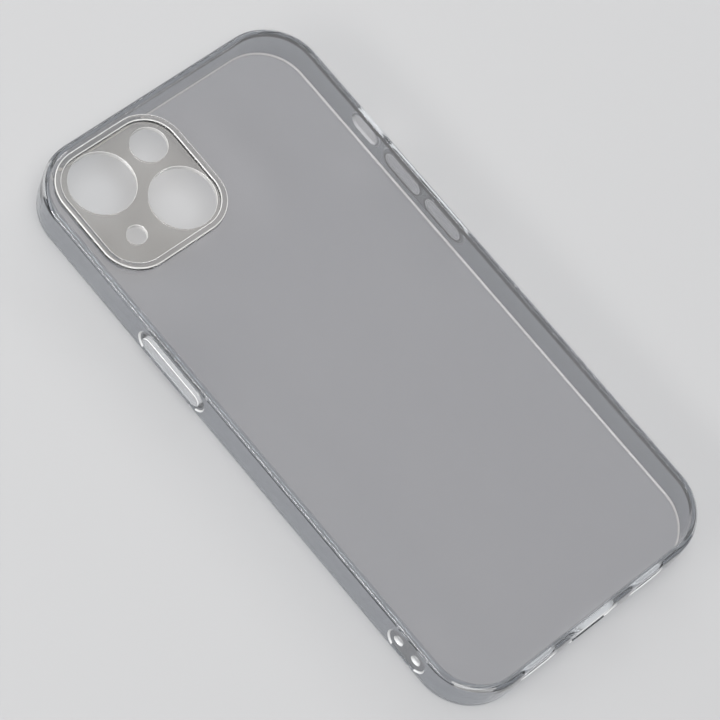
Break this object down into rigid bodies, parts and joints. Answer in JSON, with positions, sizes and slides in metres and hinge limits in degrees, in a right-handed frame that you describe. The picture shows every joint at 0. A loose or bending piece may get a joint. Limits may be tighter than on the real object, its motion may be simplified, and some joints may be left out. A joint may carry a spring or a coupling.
{
  "type": "phone case",
  "caption": "Clear protective phone case with a hard back, a soft bumper wall, sprung side buttons, a raised camera guard and open port and speaker cut-outs.",
  "frame": {"origin": "centre of the case's plan on the plane that the front lip rests on", "axes": "+Z out of the back, +Y towards the camera end, +X to the right as the back is looked at"},
  "size_m": [0.075, 0.1492, 0.0111],
  "materials": {
    "soft_clear_wall": "clear soft thermoplastic, polished",
    "hard_clear_back": "clear hard sheet, polished outside, fine dots inside",
    "guard_ring_clear": "clear soft thermoplastic, polished",
    "camera_plate_clear": "clear, slightly warm",
    "button_clear": "clear soft thermoplastic, fine satin top",
    "web_clear": "clear soft thermoplastic, thin"
  },
  "bodies": {
    "case_body": {"bumper_frame": "soft_clear_wall", "back_panel": "hard_clear_back", "camera_guard_ring": "guard_ring_clear", "camera_plate": "camera_plate_clear", "power_web": "web_clear", "volume_up_web": "web_clear", "volume_down_web": "web_clear"},
    "power_pad": {"power_button": "button_clear"},
    "volume_up_pad": {"volume_up_button": "button_clear"},
    "volume_down_pad": {"volume_down_button": "button_clear"}
  },
  "joints": [
    {"name": "power_press", "type": "slide", "parent": "case_body", "child": "power_pad", "axis": [1, 0, 0], "range_m": [0, 0.0004], "stiffness_N_per_m": 4000, "deforming": ["power_web"]},
    {"name": "volume_up_press", "type": "slide", "parent": "case_body", "child": "volume_up_pad", "axis": [-1, 0, 0], "range_m": [0, 0.0004], "stiffness_N_per_m": 4000, "deforming": ["volume_up_web"]},
    {"name": "volume_down_press", "type": "slide", "parent": "case_body", "child": "volume_down_pad", "axis": [-1, 0, 0], "range_m": [0, 0.0004], "stiffness_N_per_m": 4000, "deforming": ["volume_down_web"]}
  ]
}
